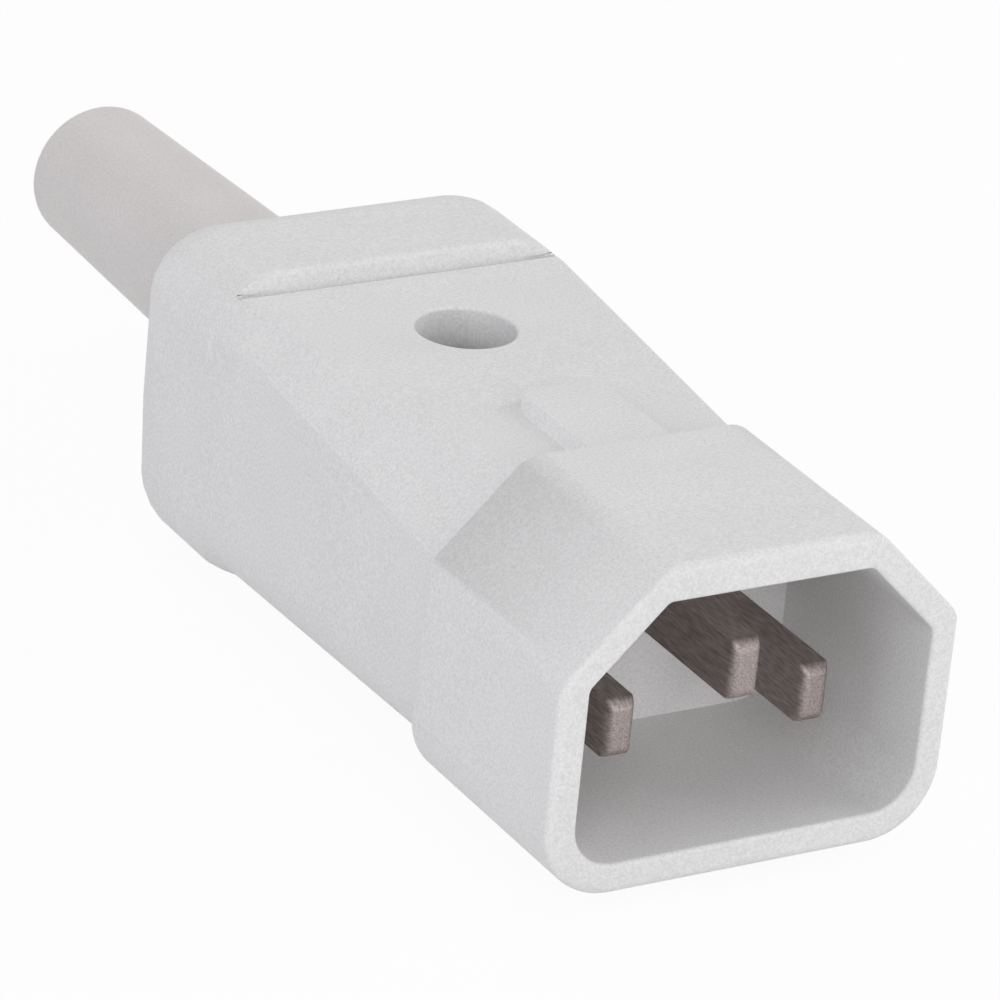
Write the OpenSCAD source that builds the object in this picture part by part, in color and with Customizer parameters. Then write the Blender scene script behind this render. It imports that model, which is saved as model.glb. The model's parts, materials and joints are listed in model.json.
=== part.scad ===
// Rewireable appliance plug with a chamfered three-pin shroud, a two-part
// housing closed by one screw, and a tapered cord guard.
// Pins point towards -Y, the cord leaves towards +Y, and the chamfers are on top.

/* [Shroud] */
// Width of the cavity that the mating socket enters
cavity_w = 24.5; // [23:0.1:27]
// Height of the cavity
cavity_h = 17.3; // [16.2:0.1:18.5]
// Depth of the cavity behind the rim
cavity_depth = 16.3; // [14:0.1:18]
// Leg of the 45 degree chamfers at the cavity's two top corners
cavity_chamfer = 5; // [4:0.1:6]
// Radius of the cavity's two bottom corners
cavity_corner_r = 3; // [1.5:0.1:4]
// Thickness of the shroud's two sides at the rim
shroud_wall = 1.97; // [1.6:0.01:2.6]
// Thickness of the shroud's two chamfered walls at the rim
shroud_wall_chamfer = 1.85; // [1.5:0.05:2.6]
// Thickness of the shroud's top wall
shroud_wall_top = 2.4; // [1.8:0.1:3]
// Thickness of the shroud's bottom wall
shroud_wall_bottom = 2.2; // [1.8:0.1:3]
// Radius of the shroud's two outer bottom corners
shroud_corner_r = 5; // [4:0.1:7]
// How much further out the shroud's walls are at its rear than at its rim
shroud_draft = 0.08; // [0:0.02:0.3]
// Length of the shroud from the rim to its rear shoulder
shroud_len = 17; // [16.8:0.1:20]
// Length of the block behind the shroud that the housing holds
block_len = 8; // [7:0.1:8.6]

/* [Pins] */
// Distance between the line and neutral pins
pin_pitch = 14; // [13:0.1:15]
// Height of the earth pin above the line and neutral pins
pin_rise = 4; // [3.5:0.1:5]
// Width of a pin blade
pin_w = 2; // [1.6:0.1:2.4]
// Height of a pin blade
pin_h = 4; // [3.4:0.1:4.4]
// Distance of the line and neutral tips behind the rim
tip_back = 4.3; // [3.5:0.1:6]
// Distance of the earth tip behind the rim
earth_tip_back = 1.8; // [1.2:0.1:4]
// Length of the bevel at a pin tip
tip_bevel = 0.5; // [0.3:0.1:1.4]
// Width taken off each flank of a pin tip
tip_flank = 0.3; // [0.2:0.05:0.8]
// Height taken off the top and bottom of a pin tip
tip_lip = 0.5; // [0.2:0.05:1]

/* [Terminals] */
// Width of a pillar terminal
pillar_w = 5.6; // [5:0.1:6]
// Height of a pillar terminal
pillar_h = 7; // [6.4:0.1:7.4]
// Length of a pillar terminal
pillar_len = 7.4; // [7:0.1:7.6]
// Width of the slot that takes the wire
wire_slot_w = 3; // [2:0.1:3.4]
// Height of the slot that takes the wire
wire_slot_h = 3.6; // [2.8:0.1:3.8]
// Depth of the wire slot
wire_slot_depth = 6.4; // [5.6:0.1:6.8]
// Thickness of the plate that presses on the wire
plate_t = 0.7; // [0.5:0.1:0.9]
// Radius of a terminal screw's shank
terminal_screw_r = 1.25; // [1:0.05:1.6]
// Radius of a terminal screw's head
terminal_head_r = 2.1; // [1.8:0.1:2.6]
// Height of a terminal screw's head
terminal_head_h = 1.4; // [1:0.1:1.6]

/* [Housing] */
// Width of the housing at the shroud
body_w_front = 26.6; // [26:0.1:28]
// Width of the housing at the foot of the grip
body_w_rear = 27.2; // [26.6:0.1:27.4]
// Height of the flat top above the pin axis, at the shroud
deck_front = 9.73; // [9.4:0.01:10.5]
// Height of the flat top above the pin axis, at the step
deck_rear = 9.45; // [9.2:0.01:10.2]
// Depth of the underside below the pin axis, at the shroud
keel_front = 10.35; // [10:0.05:11]
// Depth of the underside below the pin axis, where it starts to drop to the grip
keel_rear = 11; // [10.4:0.05:11.6]
// Half width of the flat top at the shroud
deck_half_front = 8; // [7:0.1:9]
// Half width of the flat top at the grip
deck_half_rear = 12; // [11:0.1:12.5]
// Radius of the housing's two long bottom corners
body_corner_r = 5.2; // [4:0.1:6]
// Wall thickness at the sides of the housing
body_wall = 2; // [1.6:0.1:2.4]
// Wall thickness above and below the wiring chamber
body_wall_flat = 1.9; // [1.6:0.1:2.2]
// Height of the parting plane relative to the pin axis
parting_z = -0.6; // [-1.5:0.1:0]

/* [Grip] */
// Distance from the rim to the foot of the grip's step
grip_start = 47.2; // [45:0.1:49]
// Length of the step's slope from its foot to the top of the grip
grip_slope = 0.3; // [0.2:0.1:2]
// Distance from the rim to where the underside starts to drop
drop_start = 45.4; // [45:0.1:46]
// Length over which the underside drops to the grip
drop_len = 4.6; // [4:0.1:6]
// How far the grip's lower corners and lower rear edge lean in
grip_draft = 0.15; // [0:0.05:0.6]
// Total height of the grip
grip_h = 22.6; // [22:0.1:24]
// Total width of the grip
grip_w = 27.5; // [27.4:0.1:29]
// Radius that rounds the grip's corners and rear edges
grip_r = 5.2; // [4:0.1:5.6]
// Distance from the rim to the housing's rear face
body_end = 60.4; // [59:0.1:63]
// Depth of the groove at the foot of the step
groove_depth = 0.5; // [0.3:0.1:0.9]
// Width of the groove at the foot of the step
groove_w = 0.45; // [0.2:0.05:0.8]

/* [Pad] */
// Width of the raised pad at its foot
pad_w = 7; // [6:0.1:8]
// Length of the raised pad
pad_len = 10; // [8:0.1:11]
// Height of the raised pad above the flat top
pad_h = 0.85; // [0.5:0.05:1.2]
// Radius of the pad's two rear corners
pad_r = 2.6; // [1:0.1:3]
// How far the pad's sides lean in
pad_lean = 0.5; // [0.2:0.1:0.8]
// Gap between the pad and the shroud in front of it
pad_gap = 0.25; // [0.1:0.05:0.4]

/* [Closing screw] */
// Distance from the rim to the closing screw
screw_y = 38.4; // [37.5:0.1:40]
// Radius of the closing screw's thread
screw_r = 1.5; // [1.2:0.05:1.8]
// Radius of the closing screw's head
head_r = 2.8; // [2.4:0.1:3]
// Height of the closing screw's head
head_h = 2; // [1.6:0.1:2.4]
// Width of the screwdriver slot
slot_w = 0.8; // [0.5:0.1:1]
// Depth of the screwdriver slot
slot_depth = 1; // [0.6:0.1:1.2]
// Radius of the sunk hole for the head
sink_r = 3.35; // [3.1:0.05:3.6]
// Distance from the flat top down to the screw head
sink_depth = 2.3; // [1.6:0.1:3]
// Wall around the closing screw's hole
boss_wall = 1.6; // [1.2:0.1:2]
// Width of the hexagonal nut across its flats
nut_af = 5.5; // [5:0.1:6]
// Thickness of the nut
nut_h = 2.4; // [2:0.1:3]
// Distance that the nut sits above the underside
nut_sunk = 1.6; // [1:0.1:2.4]

/* [Cord grip] */
// Radius of the largest cord
cord_r = 3.6; // [3:0.1:3.8]
// Distance from the rim to the middle of the cord clamp
clamp_y = 48.2; // [47.5:0.1:49]
// Length of the cord clamp along the cord
clamp_len = 6; // [5:0.1:6.6]
// Gap between each end of the cord clamp and the housing's wall
clamp_side_gap = 0.8; // [0.4:0.1:1]
// Thickness of the clamp over the cord
clamp_t = 2; // [1.6:0.1:2]
// Radius of a clamp screw's shank
clamp_screw_r = 1.3; // [1:0.05:1.5]
// Radius of a clamp screw's head
clamp_head_r = 2.3; // [2:0.1:2.3]
// Height of a clamp screw's head
clamp_head_h = 1.8; // [1.4:0.1:2]

/* [Cord guard] */
// Radius of the cord guard where it leaves the housing
guard_r = 6.05; // [5.6:0.05:6.3]
// Radius of the cord guard at its free end
guard_end_r = 5.2; // [4.9:0.05:5.6]
// Distance from the rim to the guard's free end
guard_end = 92.4; // [85:0.1:100]
// Rounding of the guard's free end
guard_round = 1; // [0.4:0.1:1.2]
// Radius of the flange that the housing traps
flange_r = 7.8; // [7.2:0.1:8]
// Thickness of that flange
flange_t = 2.2; // [1.6:0.1:2.6]
// Thickness of the housing's rear wall
rear_wall = 3; // [2.4:0.1:3.6]

/* [Clearances] */
// Gap between the carrier and the housing around it
carrier_gap = 0.15; // [0.05:0.05:0.3]
// Gap around loose inner pieces
fit_gap = 0.1; // [0.05:0.05:0.2]
// Gap around a turning screw shank
shank_gap = 0.05; // [0.02:0.01:0.1]
// Gap around the cord guard in the rear wall
guard_gap = 0.15; // [0.05:0.05:0.3]

/* [Hidden] */
$fn = 64;
// Small overlap that keeps cuts clean
eps = 0.01;
pin_colour = "#8d8682";
screw_colour = "#b5b2ae";

// Shroud
shroud_half = cavity_w / 2 + shroud_wall;
shroud_top = cavity_h / 2 + shroud_wall_top;
shroud_bottom = cavity_h / 2 + shroud_wall_bottom;
cavity_diagonal = cavity_w / 2 + cavity_h / 2 - cavity_chamfer;
shroud_chamfer = shroud_half + shroud_top - cavity_diagonal - shroud_wall_chamfer * sqrt(2);

// Sideways place and height of each pin's centre
line_x = -pin_pitch / 2;
neutral_x = pin_pitch / 2;
live_z = -pin_rise / 2;
earth_z = pin_rise / 2;

// Grip, centred on the cord
cord_z = parting_z;
grip_half = grip_w / 2;
grip_top = cord_z + grip_h / 2;
grip_bottom = cord_z - grip_h / 2;
step_foot = grip_start + groove_w;
step_top = step_foot + grip_slope;

// Wiring chamber
chamber_half = body_w_front / 2 - body_wall;
chamber_top = deck_rear - body_wall_flat;
chamber_bottom = keel_front - body_wall_flat;
chamber_chamfer = body_w_front / 2 - deck_half_front - 0.5 * body_wall;
chamber_corner_r = body_corner_r - body_wall;
groove_back = body_end - rear_wall;
groove_front = groove_back - flange_t - 2 * fit_gap;
web_t = 1.8;
chamber_end = groove_front - web_t;
guard_hole_r = guard_r + guard_gap;

// Carrier block behind the shroud, and the rib that locks it in the housing
block_end = shroud_len + block_len;
rib_len = 2;
rib_y = shroud_len + block_len / 2 - rib_len / 2;
rib_h = 0.8;
barrier_t = 0.8;

// Closing screw, from the top down
head_top_z = deck_at(screw_y) - sink_depth;
seat_z = head_top_z - head_h;
nut_bottom_z = nut_sunk - keel_at(screw_y);
nut_top_z = nut_bottom_z + nut_h;
post_r = screw_r + shank_gap + boss_wall;
sink_boss_r = sink_r + boss_wall - 0.3;
nut_boss_r = nut_af / sqrt(3) + boss_wall;

// Terminals
pillar_end = block_end + pillar_len;
terminal_screw_y = pillar_end - wire_slot_depth / 2;
slot_top = wire_slot_h / 2 - 0.8;
plate_w = wire_slot_w - 2 * fit_gap;
plate_top = slot_top - fit_gap;

// Cord clamp and its seat in the lower shell
clamp_w = 2 * (chamber_half - clamp_side_gap);
clamp_half = clamp_w / 2 - clamp_head_r - 0.2;
clamp_arch_r = cord_r + clamp_t;
clamp_grip_depth = 6;

// Tongue and rebate along the parting plane
tongue_w = 0.9;
tongue_h = 1;
tongue_y0 = block_end + 1;
tongue_y1 = chamber_end - 1;

// Whole part
overall_len = guard_end;
lowest_z = min(grip_bottom, -shroud_bottom);

function mix(a, b, t) = a + (b - a) * t;
function along(y) = (y - shroud_len) / (grip_start - shroud_len);
function deck_at(y) = mix(deck_front, deck_rear, along(y));
function keel_at(y) = mix(keel_front, keel_rear, (y - shroud_len) / (drop_start - shroud_len));

// Moves the plug from its rim to the middle of its footprint
module placed() {
    translate([0, -overall_len / 2, -lowest_z]) children();
}

// Extrudes an outline drawn in X and Z from y0 to y1
module slab(y0, y1) {
    translate([0, y1, 0]) rotate([90, 0, 0]) linear_extrude(y1 - y0) children();
}

// Round bar along Y, centred on the cord
module cord_bar(r, y0, y1) {
    translate([0, y1, cord_z]) rotate([90, 0, 0]) cylinder(h = y1 - y0, r = r);
}

// Upright round bar on the closing screw's axis
module screw_bar(r, z0, z1) {
    translate([0, screw_y, z0]) cylinder(h = z1 - z0, r = r);
}

// Outline with 45 degree chamfers on top and rounded corners below
module plug_outline(half, top, bottom, chamfer, r, inset = 0) {
    h = half - inset;
    t = top - inset;
    b = bottom - inset;
    c = chamfer - inset * (2 - sqrt(2));
    k = max(r - inset, 0.2);
    polygon([[-h, k - b], [-h, t - c], [c - h, t], [h - c, t], [h, t - c], [h, k - b]]);
    translate([k - h, -b]) square([2 * (h - k), k + 1]);
    for (s = [-1, 1]) translate([s * (h - k), k - b]) circle(k);
}

// Outside of the shroud, which widens a little from its rim to its rear
module shroud_form() {
    edge = 0.3;
    hull() {
        slab(0, edge)
            plug_outline(shroud_half, shroud_top, shroud_bottom, shroud_chamfer, shroud_corner_r);
        slab(shroud_len - edge, shroud_len)
            plug_outline(shroud_half, shroud_top, shroud_bottom, shroud_chamfer, shroud_corner_r,
                         -shroud_draft);
    }
}

module cavity_outline() {
    plug_outline(cavity_w / 2, cavity_h / 2, cavity_h / 2, cavity_chamfer, cavity_corner_r);
}

module chamber_outline(inset = 0) {
    plug_outline(chamber_half, chamber_top, chamber_bottom, chamber_chamfer, chamber_corner_r, inset);
}

// Outline of the grip with four round corners
module grip_outline(inset = 0) {
    h = grip_half - inset;
    r = grip_r - inset;
    t = grip_top - inset;
    b = grip_bottom + inset;
    translate([r - h, b]) square([2 * (h - r), t - b]);
    translate([-h, b + r]) square([2 * h, t - b - 2 * r]);
    for (s = [-1, 1], z = [b + r, t - r]) translate([s * (h - r), z]) circle(r);
}

// One cross-section of the front form, edge thick: flat top, 45 degree facets and
// round lower corners
module body_slice(y, half, deck, deck_half, keel, edge = 0.3) {
    drop = half - deck_half;
    slab(y, y + edge) {
        polygon([[-half, deck - drop], [-deck_half, deck], [deck_half, deck], [half, deck - drop],
                 [half, body_corner_r - keel], [-half, body_corner_r - keel]]);
        for (s = [-1, 1])
            translate([s * (half - body_corner_r), body_corner_r - keel]) circle(body_corner_r, $fn = 32);
    }
}

// Front of the housing, whose facets narrow from the shroud to the grip
module front_form() {
    y1 = step_top + 0.6;
    t = (y1 - shroud_len) / (grip_start - shroud_len);
    intersection() {
        hull() {
            body_slice(shroud_len, body_w_front / 2, deck_front, deck_half_front, keel_front);
            body_slice(y1, body_w_rear / 2, deck_at(y1), mix(deck_half_front, deck_half_rear, t), keel_at(y1));
        }
        slab(shroud_len - 1, y1 + 1) grip_outline(0.03);
    }
}

// Slice of the grip for its hull, with lower corners of the grip's radius
module grip_slice(y, half, top, bottom, edge = 0.3) {
    slab(y, y + edge) {
        translate([-half, bottom + grip_r]) square([2 * half, top - bottom - grip_r]);
        for (s = [-1, 1]) translate([s * (half - grip_r), bottom + grip_r]) circle(grip_r, $fn = 32);
    }
}

// Ball-cornered grip; its front wall and underside rise out of the front form
module grip_form() {
    lead = 3;
    y0 = step_foot - lead;
    rise = (grip_top - deck_rear) / grip_slope;
    sink = (keel_rear + grip_bottom) / drop_len;
    low = grip_half - grip_r - grip_draft;
    high = grip_half - grip_r;
    hull() {
        grip_slice(y0, body_w_rear / 2 - 0.4, deck_rear - rise * lead, sink * (y0 - drop_start) - keel_rear);
        slab(step_top, step_top + 0.4) intersection() {
            grip_outline();
            translate([-grip_half, deck_rear - 6]) square([grip_w, grip_h]);
        }
        for (s = [-1, 1], y = [drop_start + drop_len, body_end - grip_r - grip_draft])
            translate([s * low, y, grip_bottom + grip_r]) sphere(grip_r, $fn = 32);
        for (s = [-1, 1])
            translate([s * high, body_end - grip_r, grip_top - grip_r]) sphere(grip_r, $fn = 32);
        for (s = [-1, 1])
            translate([s * high, body_end - grip_r, parting_z - 1]) cylinder(h = 1, r = grip_r, $fn = 32);
    }
}

// Outside of both shells before they are parted and hollowed
module housing_form() {
    front_form();
    grip_form();
}

// Groove that marks the foot of the grip's step
module step_groove() {
    translate([-deck_half_rear, grip_start, deck_rear - groove_depth])
        cube([2 * deck_half_rear, groove_w, grip_h]);
}

// Raised pad that leads back from the shroud, with leaning sides and round rear corners
module top_pad() {
    foot = deck_rear - 1;
    top = deck_front + pad_h;
    w = pad_w / 2;
    y0 = shroud_len + pad_gap;
    y1 = shroud_len + pad_len;
    intersection() {
        translate([0, 0, foot]) linear_extrude(top - foot) {
            translate([-w, y0]) square([pad_w, y1 - pad_r - y0]);
            translate([pad_r - w, y0]) square([pad_w - 2 * pad_r, y1 - y0]);
            for (s = [-1, 1]) translate([s * (w - pad_r), y1 - pad_r]) circle(pad_r);
        }
        slab(y0, y1)
            polygon([[-w, foot], [w, foot], [w, deck_front], [w - pad_lean, top], [pad_lean - w, top],
                     [-w, deck_front]]);
        rotate([90, 0, 90]) linear_extrude(pad_w, center = true)
            polygon([[y0, foot], [y1, foot], [y1, deck_front], [y1 - pad_lean, top], [y0, top]]);
    }
}

// All the space above (side 1) or below (side -1) the parting plane
module beyond_parting(side) {
    translate([-50, 0, side > 0 ? parting_z : parting_z - 50]) cube([100, 100, 50]);
}

// Space inside the housing: carrier seat, wiring chamber, guard groove and cord hole
module housing_space() {
    slab(shroud_len - 1, chamber_end) chamber_outline();
    slab(rib_y - fit_gap, rib_y + rib_len + fit_gap) chamber_outline(-rib_h);
    cord_bar(guard_hole_r, chamber_end - 1, body_end + 1);
    cord_bar(flange_r + fit_gap, groove_front, groove_back);
}

// Straight tongue along both side walls, rooted below the parting plane
module tongues(grow = 0) {
    root = 0.5;
    for (s = [-1, 1])
        translate([s * (chamber_half + tongue_w / 2), (tongue_y0 + tongue_y1) / 2, parting_z - root])
            translate([-tongue_w / 2 - grow, (tongue_y0 - tongue_y1) / 2 - grow, 0])
                cube([tongue_w + 2 * grow, tongue_y1 - tongue_y0 + 2 * grow, tongue_h + root + grow]);
}

// Shroud with the block that carries the three pins and keeps their terminals apart
module pin_carrier() {
    color("#c9c6c4") placed() difference() {
        union() {
            shroud_form();
            slab(shroud_len - eps, block_end) chamber_outline(carrier_gap);
            slab(rib_y, rib_y + rib_len) chamber_outline(carrier_gap - rib_h);
            for (s = [-1, 1])
                translate([s * pin_pitch / 4 - barrier_t / 2, block_end - eps, live_z - pillar_h / 2])
                    cube([barrier_t, pillar_len, pillar_h + 2]);
        }
        slab(-1, cavity_depth) cavity_outline();
        pin_blade(line_x, live_z, cavity_depth - 1);
        pin_blade(neutral_x, live_z, cavity_depth - 1);
        pin_blade(0, earth_z, cavity_depth - 1);
    }
}

// Plain bar of a pin from y0 to the rear of the carrier
module pin_blade(x, z, y0) {
    translate([x - pin_w / 2, y0, z - pin_h / 2]) cube([pin_w, block_end - y0, pin_h]);
}

// Bevelled tip of a pin: the flanks in plan, the lips in side view
module pin_tip(x, z, y0) {
    w = pin_w / 2;
    h = pin_h / 2;
    reach = block_end - y0;
    translate([x, y0, z]) intersection() {
        translate([0, 0, -h]) linear_extrude(pin_h)
            polygon([[tip_flank - w, 0], [w - tip_flank, 0], [w, tip_bevel], [w, reach],
                     [-w, reach], [-w, tip_bevel]]);
        translate([-w, 0, 0]) rotate([90, 0, 90]) linear_extrude(pin_w)
            polygon([[0, tip_lip - h], [0, h - tip_lip], [tip_bevel, h], [reach, h],
                     [reach, -h], [tip_bevel, -h]]);
    }
}

// Pin with the pillar terminal that it ends in
module contact(x, z, y0) {
    pin_tip(x, z, y0);
    difference() {
        translate([x - pillar_w / 2, block_end, z - pillar_h / 2]) cube([pillar_w, pillar_len, pillar_h]);
        translate([x - wire_slot_w / 2, pillar_end - wire_slot_depth, z + slot_top - wire_slot_h])
            cube([wire_slot_w, wire_slot_depth + 1, wire_slot_h]);
        translate([x, terminal_screw_y, z]) cylinder(h = pillar_h, r = terminal_screw_r, $fn = 32);
    }
}

// Plate between a terminal's screw and its wire, hooked over the pillar's end
module wire_plate(x, z) {
    y0 = pillar_end - wire_slot_depth + fit_gap;
    y1 = pillar_end + fit_gap;
    translate([x - plate_w / 2, 0, z]) rotate([90, 0, 90]) linear_extrude(plate_w)
        polygon([[y0, plate_top - plate_t], [y1 + plate_t, plate_top - plate_t],
                 [y1 + plate_t, plate_top + 1.6], [y1, plate_top + 1.6], [y1, plate_top], [y0, plate_top]]);
}

// Slotted screw with a slightly domed head, its head resting on height z
module slotted_screw(x, y, z, r, len, head_r, head_h, slot = 0.6, depth = 0.7) {
    dome_r = head_r * 3;
    translate([x, y, z]) difference() {
        union() {
            translate([0, 0, -len]) cylinder(h = len + eps, r = r, $fn = 32);
            intersection() {
                cylinder(h = head_h, r = head_r);
                translate([0, 0, head_h - dome_r]) sphere(dome_r);
            }
        }
        translate([-head_r - 1, -slot / 2, head_h - depth]) cube([2 * head_r + 2, slot, depth + 1]);
    }
}

// Screw that presses a wire plate down in the terminal of the pin at x, z
module terminal_screw(x, z) {
    slotted_screw(x, terminal_screw_y, z + pillar_h / 2, terminal_screw_r,
                  pillar_h / 2 - plate_top, terminal_head_r, terminal_head_h);
}

module line_pin() { color(pin_colour) placed() contact(line_x, live_z, tip_back); }

module neutral_pin() { color(pin_colour) placed() contact(neutral_x, live_z, tip_back); }

module earth_pin() { color(pin_colour) placed() contact(0, earth_z, earth_tip_back); }

module line_wire_plate() { color(pin_colour) placed() wire_plate(line_x, live_z); }

module neutral_wire_plate() { color(pin_colour) placed() wire_plate(neutral_x, live_z); }

module earth_wire_plate() { color(pin_colour) placed() wire_plate(0, earth_z); }

module line_terminal_screw() { color(screw_colour) placed() terminal_screw(line_x, live_z); }

module neutral_terminal_screw() { color(screw_colour) placed() terminal_screw(neutral_x, live_z); }

module earth_terminal_screw() { color(screw_colour) placed() terminal_screw(0, earth_z); }

// Half of the housing with the flat top, the pad and the sunk screw hole
module upper_shell() {
    color("#d9d7d6") placed() difference() {
        union() {
            housing_form();
            top_pad();
        }
        beyond_parting(-1);
        step_groove();
        difference() {
            housing_space();
            screw_bar(sink_boss_r, seat_z - boss_wall, grip_top);
            screw_bar(post_r, parting_z - 1, grip_top);
        }
        screw_bar(sink_r, seat_z, grip_top + 1);
        screw_bar(screw_r + shank_gap, parting_z - 1, seat_z + 1);
        tongues(fit_gap);
    }
}

// Half of the housing with the nut pocket and the seat of the cord clamp
module lower_shell() {
    color("#d2d0cf") placed() difference() {
        union() {
            difference() {
                housing_form();
                beyond_parting(1);
                difference() {
                    housing_space();
                    screw_bar(nut_boss_r, grip_bottom, nut_top_z + boss_wall);
                    screw_bar(post_r, grip_bottom, parting_z + 1);
                    clamp_seat();
                }
            }
            tongues();
        }
        screw_bar(screw_r + shank_gap, grip_bottom, parting_z + 1);
        translate([0, screw_y, grip_bottom - 1]) rotate(30)
            linear_extrude(nut_top_z - grip_bottom + 1) circle(nut_af / sqrt(3) + fit_gap, $fn = 6);
        cord_bar(cord_r, clamp_y - clamp_len, chamber_end + 1);
        for (s = [-1, 1])
            translate([s * clamp_half, clamp_y, cord_z - clamp_grip_depth - 0.5])
                cylinder(h = clamp_grip_depth + 1, r = clamp_screw_r, $fn = 32);
    }
}

// Solid block across the lower shell that the cord and the clamp rest on
module clamp_seat() {
    translate([-chamber_half - 0.5, clamp_y - clamp_len / 2, grip_bottom])
        cube([2 * chamber_half + 1, clamp_len, cord_z - grip_bottom + 1]);
}

// Bridge that presses the cord on its seat
module cord_clamp() {
    y0 = clamp_y - clamp_len / 2 + fit_gap;
    y1 = clamp_y + clamp_len / 2 - fit_gap;
    color("#cfcdcc") placed() difference() {
        intersection() {
            union() {
                cord_bar(clamp_arch_r, y0, y1);
                translate([-clamp_w / 2, y0, cord_z]) cube([clamp_w, y1 - y0, clamp_t]);
            }
            translate([-50, 0, cord_z]) cube([100, 100, 50]);
        }
        cord_bar(cord_r, y0 - 1, y1 + 1);
        for (s = [-1, 1])
            translate([s * clamp_half, clamp_y, cord_z - 1])
                cylinder(h = clamp_t + 2, r = clamp_screw_r + shank_gap, $fn = 32);
    }
}

// Screw at one end of the cord clamp, side -1 or 1
module clamp_screw(side) {
    color(screw_colour) placed()
        slotted_screw(side * clamp_half, clamp_y, cord_z + clamp_t, clamp_screw_r,
                      clamp_t + clamp_grip_depth, clamp_head_r, clamp_head_h);
}

// Tapered sleeve whose flange is trapped in the housing's rear wall
module cord_guard() {
    y0 = groove_front + fit_gap;
    color("#c0bcbb") placed() difference() {
        translate([0, 0, cord_z]) rotate([-90, 0, 0]) rotate_extrude() {
            polygon([[0, y0], [flange_r, y0], [flange_r, y0 + flange_t], [guard_r, y0 + flange_t],
                     [guard_r, body_end], [guard_end_r, guard_end - guard_round],
                     [guard_end_r - guard_round, guard_end - guard_round / 2], [0, guard_end - guard_round / 2]]);
            translate([0, guard_end - 2 * guard_round])
                square([guard_end_r - guard_round, 2 * guard_round]);
            translate([guard_end_r - guard_round, guard_end - guard_round]) circle(guard_round, $fn = 32);
        }
        cord_bar(cord_r + 0.2, y0 - 1, guard_end + 1);
    }
}

// Screw that closes the housing
module housing_screw() {
    color(screw_colour) placed()
        slotted_screw(0, screw_y, seat_z, screw_r, seat_z - nut_bottom_z, head_r, head_h, slot_w, slot_depth);
}

// Hexagonal nut in its pocket under the housing
module housing_nut() {
    color(screw_colour) placed() translate([0, screw_y, nut_bottom_z]) difference() {
        rotate(30) linear_extrude(nut_h) circle(nut_af / sqrt(3), $fn = 6);
        translate([0, 0, -1]) cylinder(h = nut_h + 2, r = screw_r, $fn = 32);
    }
}

pin_carrier();
upper_shell();
lower_shell();
cord_guard();
line_pin();
neutral_pin();
earth_pin();
line_wire_plate();
neutral_wire_plate();
earth_wire_plate();
line_terminal_screw();
neutral_terminal_screw();
earth_terminal_screw();
housing_screw();
housing_nut();
cord_clamp();
clamp_screw(-1);  // clamp_screw_left
clamp_screw(1);  // clamp_screw_right
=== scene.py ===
# %% [markdown]
# A rewireable appliance plug: a chamfered shroud with three flat pins, a housing
# of two screwed shells and a tapered cord guard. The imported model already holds
# every piece at its real size. Here each piece gets its edges and its finish.

import json
import math

import bmesh
import bpy
from mathutils import Matrix, Vector


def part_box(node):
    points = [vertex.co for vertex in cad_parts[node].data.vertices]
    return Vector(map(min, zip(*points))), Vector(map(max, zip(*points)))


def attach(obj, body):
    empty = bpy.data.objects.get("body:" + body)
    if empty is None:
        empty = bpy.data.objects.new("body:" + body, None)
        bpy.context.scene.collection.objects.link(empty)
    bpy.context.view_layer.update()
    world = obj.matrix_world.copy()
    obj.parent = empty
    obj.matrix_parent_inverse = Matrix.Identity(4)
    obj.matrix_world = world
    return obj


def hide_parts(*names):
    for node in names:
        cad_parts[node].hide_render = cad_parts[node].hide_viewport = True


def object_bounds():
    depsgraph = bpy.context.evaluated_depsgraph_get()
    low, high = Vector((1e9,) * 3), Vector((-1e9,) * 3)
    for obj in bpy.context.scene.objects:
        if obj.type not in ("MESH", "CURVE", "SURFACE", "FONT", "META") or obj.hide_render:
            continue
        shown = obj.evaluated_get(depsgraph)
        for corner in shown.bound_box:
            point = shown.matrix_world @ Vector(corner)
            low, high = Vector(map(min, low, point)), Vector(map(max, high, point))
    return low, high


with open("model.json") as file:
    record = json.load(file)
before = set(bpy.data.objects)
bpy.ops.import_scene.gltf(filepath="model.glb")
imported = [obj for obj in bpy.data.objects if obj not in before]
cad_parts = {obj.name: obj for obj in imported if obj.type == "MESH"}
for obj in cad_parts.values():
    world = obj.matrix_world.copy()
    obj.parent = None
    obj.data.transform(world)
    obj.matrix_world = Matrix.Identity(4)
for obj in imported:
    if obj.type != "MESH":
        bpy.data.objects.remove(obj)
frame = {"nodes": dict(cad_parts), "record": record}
cad_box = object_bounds()
MM = 0.001
print("loaded", len(frame["nodes"]), "nodes")

# %% [markdown]
# Colours are easiest to choose as sRGB hex values, as in a paint program, but the
# shaders work in linear light. One function turns the first into the second.


# %% Colours and nodes
def linear(hex_colour):
    """An sRGB hex colour as linear red, green, blue and alpha."""
    parts = [int(hex_colour[i : i + 2], 16) / 255 for i in (1, 3, 5)]
    return [p / 12.92 if p <= 0.04045 else ((p + 0.055) / 1.055) ** 2.4 for p in parts] + [1.0]


def add_node(tree, kind, inputs=None, **settings):
    """Adds a node, sets its properties, and sets or links its inputs."""
    made = tree.nodes.new(kind)
    for name, value in settings.items():
        setattr(made, name, value)
    for socket, value in (inputs or {}).items():
        if isinstance(value, bpy.types.NodeSocket):
            tree.links.new(value, made.inputs[socket])
        else:
            made.inputs[socket].default_value = value
    return made


def new_material(name):
    """An empty node material, with its tree and its output node."""
    made = bpy.data.materials.new(name)
    made.use_nodes = True
    made.node_tree.nodes.clear()
    return made, made.node_tree, add_node(made.node_tree, "ShaderNodeOutputMaterial")


# %% [markdown]
# The camera looks down on the plug from the front left, with a long lens, so that
# the pins and the long body show together.

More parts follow.
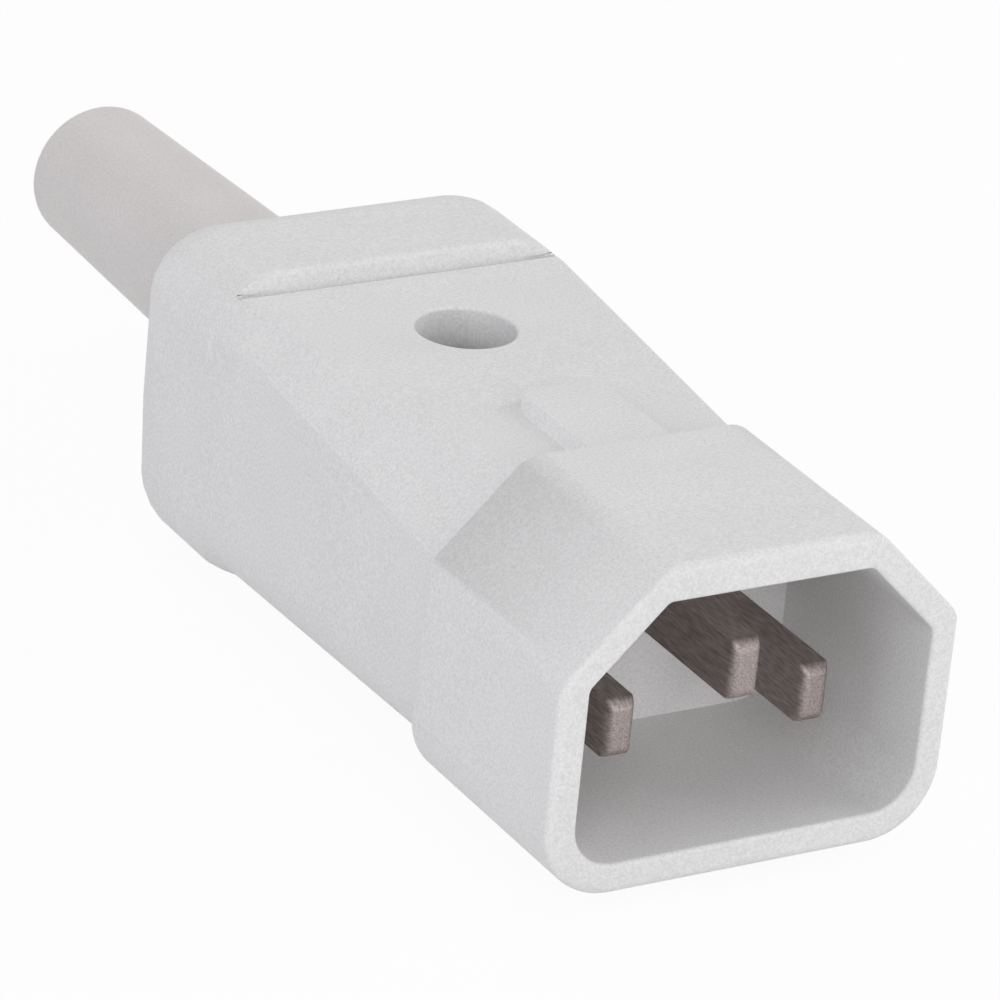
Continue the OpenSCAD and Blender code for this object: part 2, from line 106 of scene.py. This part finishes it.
# %% Camera
AZIMUTH, ELEVATION, ROLL = (math.radians(a) for a in (-31.781, 24.866, 5.552))
DISTANCE, SHIFT_X, SHIFT_Y = 362.716 * MM, 15.761 * MM, -13.005 * MM
LENS_MM = 214.95
RIM_CENTRE = Vector((0, cad_box[0][1], 11.9 * MM))

flat = math.cos(ELEVATION)
back = Vector((math.sin(AZIMUTH) * flat, -math.cos(AZIMUTH) * flat, math.sin(ELEVATION)))
level = Vector((math.cos(AZIMUTH), math.sin(AZIMUTH), 0))
upward = back.cross(level)
right = level * math.cos(ROLL) + upward * math.sin(ROLL)
up = upward * math.cos(ROLL) - level * math.sin(ROLL)
camera = bpy.data.objects.new("camera", bpy.data.cameras.new("camera"))
camera.data.lens = LENS_MM
camera.data.sensor_width = 36
camera.data.clip_start = 0.01
camera.location = RIM_CENTRE + back * DISTANCE - right * SHIFT_X - up * SHIFT_Y
camera.rotation_euler = Matrix((right, up, back)).transposed().to_euler()
bpy.context.scene.collection.objects.link(camera)
bpy.context.scene.camera = camera
print("camera at", [round(c, 4) for c in camera.location])

# %% [markdown]
# Small pale parts are shown on a white table in a white tent. The world stands for
# the tent and gives a low, even light. Six large soft lamps stand around the part,
# because one lamp alone would leave the open shroud dark, and their strengths are
# balanced so that a face shows about the colour that its material is given. The
# background stays white for the camera and in reflections by Light Path, without
# putting more light on the part.

# %% World
TENT = 0.29


def rays(tree, *kinds):
    """1 on rays of the given kinds, such as "Camera", and 0 on all others."""
    path = add_node(tree, "ShaderNodeLightPath")
    found = path.outputs[f"Is {kinds[0]} Ray"]
    for kind in kinds[1:]:
        either = {0: found, 1: path.outputs[f"Is {kind} Ray"]}
        found = add_node(tree, "ShaderNodeMath", either, operation="MAXIMUM").outputs[0]
    return found


scene = bpy.context.scene
scene.view_settings.view_transform = "Standard"
world = bpy.data.worlds.new("white_tent")
scene.world = world
world.use_nodes = True
tree = world.node_tree
tree.nodes.clear()
seen = rays(tree, "Camera", "Glossy", "Transmission")
even = add_node(tree, "ShaderNodeBackground", {"Color": linear("#ffffff"), "Strength": TENT})
white = add_node(tree, "ShaderNodeBackground", {"Color": linear("#ffffff"), "Strength": 1.0})
mixed = add_node(tree, "ShaderNodeMixShader", {0: seen, 1: even.outputs[0], 2: white.outputs[0]})
add_node(tree, "ShaderNodeOutputWorld", {"Surface": mixed.outputs[0]})
print("world", world.name, "at strength", TENT)

# %% [markdown]
# The lamps are large squares about half a metre away, so their shadows are soft.
# Each row gives a lamp's name, place, width and power. The one on the left is a
# little cooler, as daylight from a window is, and parts the sides from the top.


# %% Lamps
def soft_lamp(name, place, target, size, power, colour=(1, 1, 1)):
    """A square area lamp at place, aimed at target."""
    lamp = bpy.data.objects.new(name, bpy.data.lights.new(name, "AREA"))
    lamp.data.shape = "SQUARE"
    lamp.data.size = size
    lamp.data.energy = power
    lamp.data.color = colour
    lamp.location = place
    lamp.rotation_euler = (Vector(place) - Vector(target)).to_track_quat("Z", "Y").to_euler()
    scene.collection.objects.link(lamp)
    return lamp


LAMPS = (
    ("front_lamp", (0.05, -0.60, 0.15), 0.3, 0.83),
    ("corner_lamp", (-0.30, -0.50, 0.35), 0.3, 0.85),
    ("left_lamp", (-0.60, -0.05, 0.25), 0.4, 1.02),
    ("right_lamp", (0.50, -0.10, 0.30), 0.4, 1.17),
    ("overhead_lamp", (-0.10, -0.20, 0.55), 0.5, 0.21),
    ("rear_lamp", (0.00, 0.40, 0.50), 0.4, 0.83),
)
LAMP_TARGET = (0, -0.02, 0.012)
NEUTRAL, COOL = (1, 1, 1), (0.94, 0.97, 1.04)
for name, place, size, power in LAMPS:
    soft_lamp(name, place, LAMP_TARGET, size, power, COOL if name == "left_lamp" else NEUTRAL)
print("lamps", [row[0] for row in LAMPS])

# %% [markdown]
# The table is white paper. Seen straight on or in a reflection it mostly glows, so
# that it melts into the white behind it, but a trace of plain paper stays, and
# with it the part's shadow. The light that it throws back is that of real paper.

# %% White table
TABLE_GLOW = 0.94
table_material, tree, output = new_material("white table")
seen = rays(tree, "Camera", "Glossy")
seen = add_node(tree, "ShaderNodeMath", {0: seen, 1: TABLE_GLOW}, operation="MULTIPLY")
paper = add_node(tree, "ShaderNodeBsdfDiffuse", {"Color": linear("#f4f4f4")})
glow = add_node(tree, "ShaderNodeEmission", {"Color": linear("#ffffff"), "Strength": 1.0})
mixed = add_node(tree, "ShaderNodeMixShader", {
    0: seen.outputs[0], 1: paper.outputs[0], 2: glow.outputs[0]})
tree.links.new(mixed.outputs[0], output.inputs["Surface"])
bpy.ops.mesh.primitive_plane_add(size=4, location=(0, 0, 0))
table = bpy.context.object
table.name = "table"
table.data.materials.append(table_material)
print("table", table.name)

# %% [markdown]
# Moulded plastic never has a knife edge: the mould leaves a small radius, and that
# radius catches the light as a thin bright line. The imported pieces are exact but
# sharp, so each visible piece is copied, its triangles are merged, and each edge
# gets a weight that stands for its radius. A Bevel modifier reads the weights. Edges
# that meet in a crowded corner get a pass of their own, which may be clamped there
# without holding back the rest.


# %% A helper that rounds edges
FLAT = math.radians(0.4)


def edge_angle(edge):
    """Angle between an edge's two faces in degrees, or 0 on an open edge."""
    return math.degrees(edge.calc_face_angle(0)) if len(edge.link_faces) == 2 else 0


def rounded_copy(node, name, passes, segments=4, sharp=24, shape=None):
    """A merged copy of a node whose sharp edges are rounded.

    passes holds rows of (widest radius in mm, radius_of, clamp). radius_of(edge)
    gives an edge's radius in millimetres, and 0 leaves it to another pass.
    shape(mesh) may move vertices before the edges are rounded.
    """
    mesh = frame["nodes"][node].data.copy()
    work = bmesh.new()
    work.from_mesh(mesh)
    bmesh.ops.remove_doubles(work, verts=work.verts, dist=0.002 * MM)
    bmesh.ops.dissolve_limit(work, angle_limit=FLAT, verts=work.verts, edges=work.edges)
    if shape:
        shape(work)
    layers = [work.edges.layers.float.new(f"radius_{i}") for i in range(len(passes))]
    counts = [0] * len(passes)
    for edge in work.edges:
        if edge_angle(edge) > sharp:
            radii = [radius_of(edge) for _, radius_of, _ in passes]
            for i, radius in enumerate(radii):
                edge[layers[i]] = radius / passes[i][0]
                counts[i] += radius > 0
            edge.smooth = any(radii)
    for face in work.faces:
        face.smooth = True
    work.to_mesh(mesh)
    work.free()
    piece = bpy.data.objects.new(name, mesh)
    scene.collection.objects.link(piece)
    for i, (widest_mm, _, clamp) in enumerate(passes):
        bevel = piece.modifiers.new(f"mould radius {i}", "BEVEL")
        bevel.limit_method = "WEIGHT"
        bevel.edge_weight = f"radius_{i}"
        bevel.width = widest_mm * MM
        bevel.segments = segments
        bevel.use_clamp_overlap = clamp
        bevel.miter_outer = "MITER_SHARP"
    normals = piece.modifiers.new("flat faces stay flat", "WEIGHTED_NORMAL")
    normals.keep_sharp = True
    graph = bpy.context.evaluated_depsgraph_get()
    made = bpy.data.meshes.new_from_object(piece.evaluated_get(graph))
    piece.modifiers.clear()
    piece.data = made
    made.name = name
    piece.data.materials.clear()
    print(name, counts, "edges rounded,", len(made.polygons), "faces")
    return piece


def middle(edge):
    """Middle of an edge in millimetres from the rim and the pin axis."""
    point = (edge.verts[0].co + edge.verts[1].co) / 2 - RIM_CENTRE
    return point / MM


def along(edge):
    """Direction of an edge."""
    return (edge.verts[1].co - edge.verts[0].co).normalized()


print("edges are merged below", round(math.degrees(FLAT), 2), "degrees")

# %% [markdown]
# The carrier is one moulding: a shroud that guides the plug into its socket, and a
# block behind it that holds the pins. Fingers and sockets rub on its rim and ridges,
# so those are round, while the mouth of the cavity stays crisp. Places are given
# from the middle of the rim, in millimetres, as they are on a drawing.


# %% Rounded pin carrier
SHROUD_LEN = 17.0


def carrier_radius(edge):
    """Rim, ridges and shoulder of the shroud, and the corners of its cavity."""
    m, d = middle(edge), along(edge)
    inside = abs(m.x) < 12.5 and -8.9 < m.z < 8.9
    if m.y > SHROUD_LEN + 0.1:
        return 0
    if m.y < 0.1:
        return 0.3 if inside else 0.75
    if inside:
        return 0.4 if abs(d.y) > 0.9 else 0
    return 1.0 if abs(d.y) > 0.9 else 0.45 if m.z > -4 else 0


carrier = rounded_copy("pin_carrier", "moulded_pin_carrier", [(1.0, carrier_radius, False)])

# %% [markdown]
# The upper shell has the mouth of the screw hole, a plain raised pad and a step for
# the fingers. The step's face is hollowed a little, as a mould for a thumb rest is,
# so it lies in its own shade. The lower shell shows no small edges and is only
# merged, and the two meet flush along their parting line.


# %% Rounded shells
STEP_FOOT, STEP_TOP, HOLE_Y, HOLE_R = 47.65, 48.0, 38.4, 3.35


def hole_radius(edge):
    """Mouth of the closing screw's hole."""
    m = middle(edge)
    return 0.25 if m.z > 9 and abs(math.hypot(m.x, m.y - HOLE_Y) - HOLE_R) < 0.1 else 0


def pad_radius(edge):
    """Outline of the raised pad behind the shroud."""
    m = middle(edge)
    return 0.25 if m.z > 9.95 and abs(m.x) < 3.8 and m.y < 27.6 else 0


def step_radius(edge):
    """Upper edge of the finger step across the top."""
    m = middle(edge)
    return 0.4 if m.z > 10.4 and abs(m.y - STEP_TOP) < 0.3 and abs(m.x) < 12 else 0


def undercut(work):
    """Hollows the finger step's face, so that it lies in its own shade."""
    for vert in work.verts:
        m = (vert.co - RIM_CENTRE) / MM
        if abs(m.y - STEP_FOOT) < 0.04 and m.z > 9.0:
            vert.co += Vector((0, 0.22, -0.03)) * MM


upper = rounded_copy("upper_shell", "moulded_upper_shell",
                     [(0.25, hole_radius, True), (0.25, pad_radius, True),
                      (0.4, step_radius, True)],
                     shape=undercut)
lower = rounded_copy("lower_shell", "moulded_lower_shell", [])

# %% [markdown]
# The pins and the closing screw are metal. Their edges are broken by tumbling or
# plating, much less than a moulded edge, so the same helper gives them a radius of
# only a tenth of a millimetre. The parts of them inside the housing stay sharp.


# %% Rounded copies of the metal pieces
TIP_BACK, CAVITY_END, HEAD_SEAT = 4.9, 15, 5.4
SLOT_TURN = math.radians(78)


def pin_radius(edge):
    """Broken edges on the part of a pin that stands in the cavity."""
    y = middle(edge).y
    return 0.25 if y < TIP_BACK else 0.1 if y < CAVITY_END else 0


def head_radius(edge):
    """Broken edges on the head and slot of the closing screw."""
    return 0.12 if middle(edge).z > HEAD_SEAT else 0


def turn_slot(work):
    """Turns the closing screw on its axis, as it may stop when it is tight."""
    low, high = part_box("housing_screw")
    axis = Vector(((low[0] + high[0]) / 2, (low[1] + high[1]) / 2, 0))
    turn = Matrix.Rotation(SLOT_TURN, 3, "Z")
    bmesh.ops.rotate(work, verts=work.verts, cent=axis, matrix=turn)


PINS = ("line_pin", "neutral_pin", "earth_pin")
pins = [rounded_copy(n, "plated_" + n, [(0.25, pin_radius, False)], segments=3) for n in PINS]
closing_screw = rounded_copy("housing_screw", "plated_housing_screw", [(0.12, head_radius, True)],
                             segments=2, shape=turn_slot)

# %% [markdown]
# The shell is moulded in a stiff plastic such as polyamide. Its mould was etched,
# so the surface is matt with a grain too fine to feel. A first noise makes that
# grain and its relief, a second and far larger one the slight clouds that cooling
# leaves, and small cells make the dark specks of dust that pale plastic shows.
# The real grain is about 0.05 mm; here it is drawn over three times coarser to show.


# %% Moulded plastics
CLOUD_MM, SPECK_APART_MM = 6, 1.1


def moulded_plastic(name, shades, speck, roughness, ior, grain_mm=0.18, relief_mm=0.008):
    """Matt plastic with an etched grain, soft clouds and a few dark specks."""
    made, tree, output = new_material(name)
    place = add_node(tree, "ShaderNodeTexCoord").outputs["Object"]
    grain = add_node(tree, "ShaderNodeTexNoise", {
        "Vector": place, "Scale": 1 / (grain_mm * MM), "Detail": 2.0})
    cloud = add_node(tree, "ShaderNodeTexNoise", {
        "Vector": place, "Scale": 1 / (CLOUD_MM * MM), "Detail": 2.0})
    part = {0: cloud.outputs["Fac"], 1: 0.15}
    part = add_node(tree, "ShaderNodeMath", part, operation="MULTIPLY")
    tone = {0: grain.outputs["Fac"], 1: 0.85, 2: part.outputs[0]}
    tone = add_node(tree, "ShaderNodeMath", tone, operation="MULTIPLY_ADD")
    ramp = add_node(tree, "ShaderNodeValToRGB", {"Fac": tone.outputs[0]})
    for stop, place_on_ramp, shade in zip(ramp.color_ramp.elements, (0.35, 0.65), shades):
        stop.position, stop.color = place_on_ramp, linear(shade)
    cells = add_node(tree, "ShaderNodeTexVoronoi", {
        "Vector": place, "Scale": 1 / (SPECK_APART_MM * MM)})
    dots = add_node(tree, "ShaderNodeMapRange", {
        "Value": cells.outputs["Distance"], "From Min": 0.04, "From Max": 0.1,
        "To Min": 0.3, "To Max": 0.0})
    coloured = add_node(tree, "ShaderNodeMix", {"Factor": dots.outputs[0]}, data_type="RGBA")
    tree.links.new(ramp.outputs["Color"], coloured.inputs[6])
    coloured.inputs[7].default_value = linear(speck)
    bump = add_node(tree, "ShaderNodeBump", {
        "Height": grain.outputs["Fac"], "Distance": relief_mm * MM})
    surface = add_node(tree, "ShaderNodeBsdfPrincipled", {
        "Base Color": coloured.outputs[2], "Roughness": roughness, "IOR": ior,
        "Normal": bump.outputs["Normal"]})
    tree.links.new(surface.outputs[0], output.inputs["Surface"])
    return made


# Light grey polyamide: matt, almost white, with a trace of warmth.
shell_plastic = moulded_plastic(
    "moulded polyamide", ("#d8d7d7", "#e8e7e7"), "#a5a2a0", 0.62, 1.53, relief_mm=0.014)
# Soft vinyl: a little darker and warmer than the shell, with a softer sheen.
guard_plastic = moulded_plastic(
    "moulded soft vinyl", ("#cdc8c7", "#d9d4d3"), "#a09a98", 0.5, 1.54, relief_mm=0.004)
print("plastics", shell_plastic.name, guard_plastic.name)

# %% [markdown]
# The pins are brass with a dull nickel plate, and the screws are steel with a thin
# zinc plate. Both were drawn or rolled, which leaves lines along their length: a
# noise stretched along one axis draws them, about a tenth of a millimetre apart.


# %% Plated metals
LINE_RELIEF_MM = 0.006


def plated_metal(name, shades, roughness, line_mm, stretch):
    """Dull plated metal with faint lines along the stretched axis."""
    made, tree, output = new_material(name)
    place = add_node(tree, "ShaderNodeTexCoord").outputs["Object"]
    scale = [1 / (line_mm * MM * k) for k in stretch]
    drawn = add_node(tree, "ShaderNodeMapping", {"Vector": place, "Scale": scale})
    lines = add_node(tree, "ShaderNodeTexNoise", {
        "Vector": drawn.outputs[0], "Scale": 1.0, "Detail": 3.0})
    ramp = add_node(tree, "ShaderNodeValToRGB", {"Fac": lines.outputs["Fac"]})
    for stop, place_on_ramp, shade in zip(ramp.color_ramp.elements, (0.3, 0.7), shades):
        stop.position, stop.color = place_on_ramp, linear(shade)
    bump = add_node(tree, "ShaderNodeBump", {
        "Height": lines.outputs["Fac"], "Distance": LINE_RELIEF_MM * MM})
    surface = add_node(tree, "ShaderNodeBsdfPrincipled", {
        "Base Color": ramp.outputs["Color"], "Metallic": 1.0, "Roughness": roughness,
        "Normal": bump.outputs["Normal"]})
    tree.links.new(surface.outputs[0], output.inputs["Surface"])
    return made


# Nickel plate on brass: a brownish grey that blurs what it mirrors.
pin_metal = plated_metal("nickel-plated brass", ("#877d7a", "#b0a6a2"), 0.6, 0.15, (1, 8, 1))
# Zinc plate on steel: greyer and a little brighter. Its colour is partly the plate's own grey and
# partly painted shade: it is set darker so that the closing screw's head looks dark at the bottom
# of its deep hole.
screw_metal = plated_metal("zinc-plated steel", ("#5a5755", "#77736f"), 0.45, 0.15, (1, 1, 6))
print("metals", pin_metal.name, screw_metal.name)

# %% [markdown]
# Each screw has a rolled thread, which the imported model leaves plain. It is one
# shape that repeats: a helix with a small triangular ridge. So one node tree makes
# it, with the radius, length, pitch and ridge as inputs, and sets a copy on each
# point of a small mesh that marks where the screws of one kind end.


# %% A node tree for rolled threads
def thread_tree():
    """Node tree that sets a helical ridge on each point of its input."""
    tree = bpy.data.node_groups.new("rolled thread", "GeometryNodeTree")
    face = tree.interface
    face.new_socket("Geometry", in_out="INPUT", socket_type="NodeSocketGeometry")
    for name in ("Radius", "Length", "Pitch", "Ridge"):
        face.new_socket(name, in_out="INPUT", socket_type="NodeSocketFloat")
    face.new_socket("Material", in_out="INPUT", socket_type="NodeSocketMaterial")
    face.new_socket("Geometry", in_out="OUTPUT", socket_type="NodeSocketGeometry")
    asked = add_node(tree, "NodeGroupInput").outputs
    ratio = {0: asked["Length"], 1: asked["Pitch"]}
    turns = add_node(tree, "ShaderNodeMath", ratio, operation="DIVIDE")
    helix = add_node(tree, "GeometryNodeCurveSpiral", {
        "Resolution": 24, "Rotations": turns.outputs[0], "Start Radius": asked["Radius"],
        "End Radius": asked["Radius"], "Height": asked["Length"]})
    ridge = add_node(tree, "GeometryNodeCurvePrimitiveCircle", {
        "Resolution": 3, "Radius": asked["Ridge"]})
    swept = add_node(tree, "GeometryNodeCurveToMesh", {
        "Curve": helix.outputs[0], "Profile Curve": ridge.outputs[0], "Fill Caps": True})
    copies = add_node(tree, "GeometryNodeInstanceOnPoints", {
        "Points": asked["Geometry"], "Instance": swept.outputs[0]})
    real = add_node(tree, "GeometryNodeRealizeInstances", {"Geometry": copies.outputs[0]})
    painted = add_node(tree, "GeometryNodeSetMaterial", {
        "Geometry": real.outputs[0], "Material": asked["Material"]})
    add_node(tree, "NodeGroupOutput", {"Geometry": painted.outputs[0]})
    return tree


THREAD = thread_tree()
print("thread tree with", len(THREAD.nodes), "nodes")

# %% [markdown]
# The closing screw is the longest and runs down into the nut. The terminal screws
# press on the wires and the clamp screws hold the cord. Each kind is one mesh: its
# points sit at the screws' lower ends, and the helix climbs up from there. The sizes
# go in by each input's identifier, because its name is only a label.


# %% Threads on the screws
THREAD_DEPTH_MM, RIDGE_MM, END_MM = 0.04, 0.09, 0.1


def screw_threads(name, nodes, radius_mm, length_mm, pitch_mm):
    """One mesh with the threads of all screws of a kind, as a plain mesh."""
    points = []
    for node in nodes:
        low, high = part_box(node)
        points.append(((low[0] + high[0]) / 2, (low[1] + high[1]) / 2, low[2] + END_MM * MM))
    seats = bpy.data.meshes.new(name)
    seats.from_pydata(points, [], [])
    piece = bpy.data.objects.new(name, seats)
    scene.collection.objects.link(piece)
    nodes_on = piece.modifiers.new("rolled thread", "NODES")
    nodes_on.node_group = THREAD
    wanted = {"Radius": (radius_mm - THREAD_DEPTH_MM) * MM, "Length": length_mm * MM,
              "Pitch": pitch_mm * MM, "Ridge": RIDGE_MM * MM, "Material": screw_metal}
    for item in THREAD.interface.items_tree:
        if item.in_out == "INPUT" and item.name in wanted:
            nodes_on[item.identifier] = wanted[item.name]
    graph = bpy.context.evaluated_depsgraph_get()
    made = bpy.data.meshes.new_from_object(piece.evaluated_get(graph))
    piece.modifiers.clear()
    piece.data = made
    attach(piece, "root")
    print(name, "on", len(nodes), "screws,", len(made.polygons), "faces")
    return piece


screw_threads("closing_screw_thread", ("housing_screw",), 1.5, 6.0, 0.5)
TERMINAL_SCREWS = ("line_terminal_screw", "neutral_terminal_screw", "earth_terminal_screw")
screw_threads("terminal_screw_threads", TERMINAL_SCREWS, 1.25, 1.6, 0.4)
screw_threads("clamp_screw_threads", ("clamp_screw_left", "clamp_screw_right"), 1.3, 4.5, 0.5)

# %% [markdown]
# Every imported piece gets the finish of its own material. The rounded copies then
# take the place of the sharp pieces that they were made from.

# %% Finishes
finishes = {"housing": shell_plastic, "guard": guard_plastic,
            "pin_metal": pin_metal, "screw_metal": screw_metal}
for row in frame["record"]["subparts"]:
    piece = frame["nodes"][row["node"]]
    piece.data.materials.clear()
    piece.data.materials.append(finishes[row["material_slot"]])

rounded = [(carrier, "pin_carrier", "housing"), (upper, "upper_shell", "housing"),
           (lower, "lower_shell", "housing"), (closing_screw, "housing_screw", "screw_metal")]
rounded += [(pin, pin.name.removeprefix("plated_"), "pin_metal") for pin in pins]
for piece, node, slot in rounded:
    piece.data.materials.append(finishes[slot])
    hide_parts(node)
    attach(piece, "root")
print(len(rounded), "rounded pieces take the place of sharp ones")
